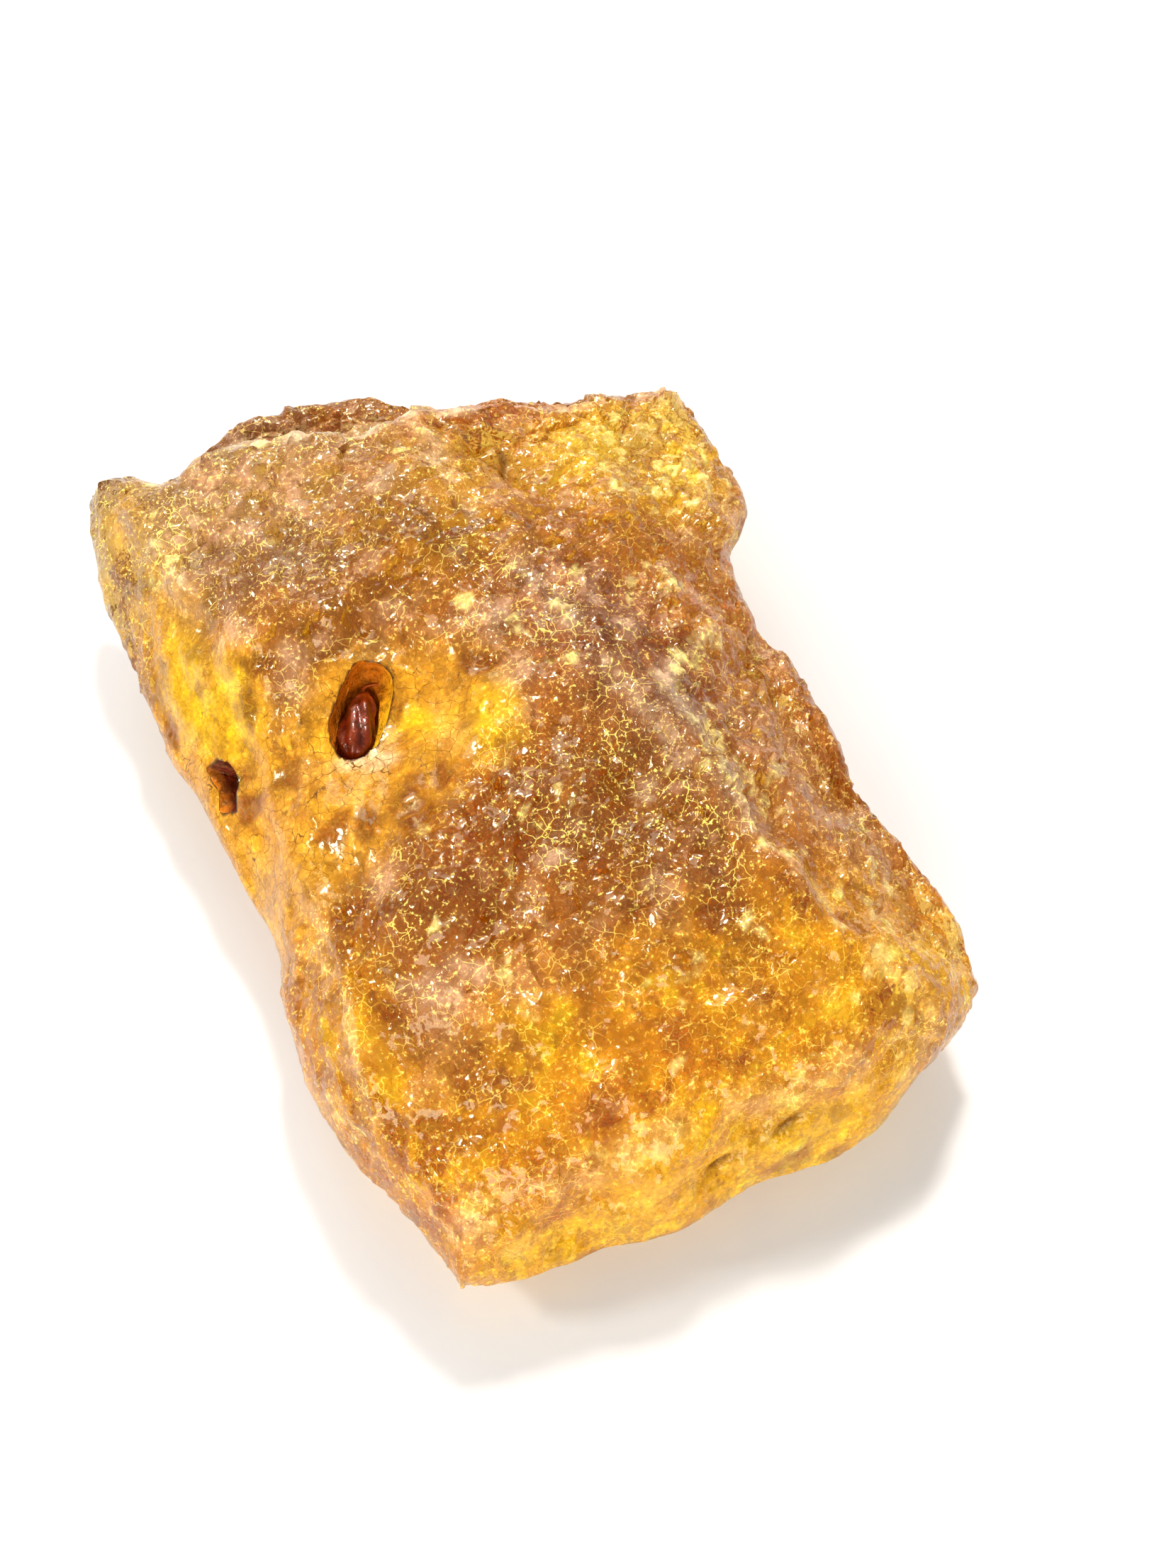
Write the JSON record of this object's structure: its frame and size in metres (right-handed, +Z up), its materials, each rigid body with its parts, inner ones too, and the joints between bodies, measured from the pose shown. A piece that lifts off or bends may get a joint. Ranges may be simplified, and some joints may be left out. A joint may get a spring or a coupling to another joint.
{
  "type": "raw copal",
  "caption": "Rough see-through slab of hardened tree resin with a crazed skin, broken edges, a deep pit that holds a dark husk, and a small side pit.",
  "frame": {"origin": "middle of the outline's box, on the surface that the flat patch of the underside rests on", "axes": "+Z up, +Y along the slab's length towards the end with the crown, +X towards the side with the step"},
  "size_m": [0.03, 0.043, 0.0115],
  "materials": {
    "copal": "see-through golden orange resin, its skin crazed into small glossy scales",
    "husk": "dark red-brown, glossy, grooved along its length"
  },
  "bodies": {
    "root": {"copal": "copal", "husk": "husk"}
  },
  "joints": []
}
